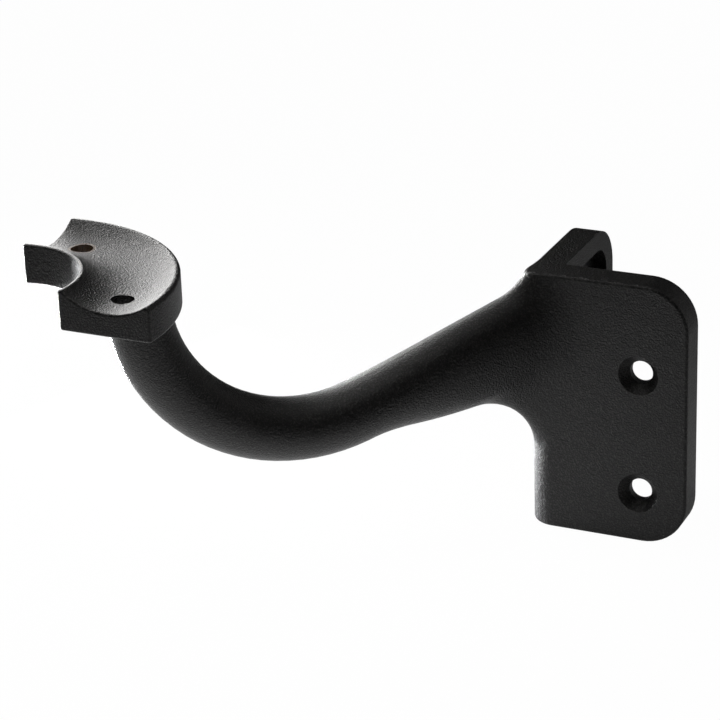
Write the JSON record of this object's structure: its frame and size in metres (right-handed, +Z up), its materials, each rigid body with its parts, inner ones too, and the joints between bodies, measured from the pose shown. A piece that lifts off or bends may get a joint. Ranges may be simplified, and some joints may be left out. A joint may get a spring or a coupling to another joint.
{
  "type": "handrail bracket",
  "caption": "Cast corner handrail bracket: an angled wall plate that wraps an outside corner, a flared swan-neck arm and a ring-shaped saddle hollowed for a bent round rail.",
  "frame": {"origin": "on the upright corner line where the two wall faces meet, level with the bottom edge of the wall plate", "axes": "+Z up along the wall's corner; the wall fills +X and +Y, its faces are the planes Y = 0 and X = 0; the arm runs out over -X -Y, half way between the two faces"},
  "size_m": [0.141, 0.141, 0.0919],
  "materials": {
    "black_coat": "satin black powder coat with a fine grain over cast iron"
  },
  "bodies": {
    "root": {"bracket_casting": "black_coat"}
  },
  "joints": []
}
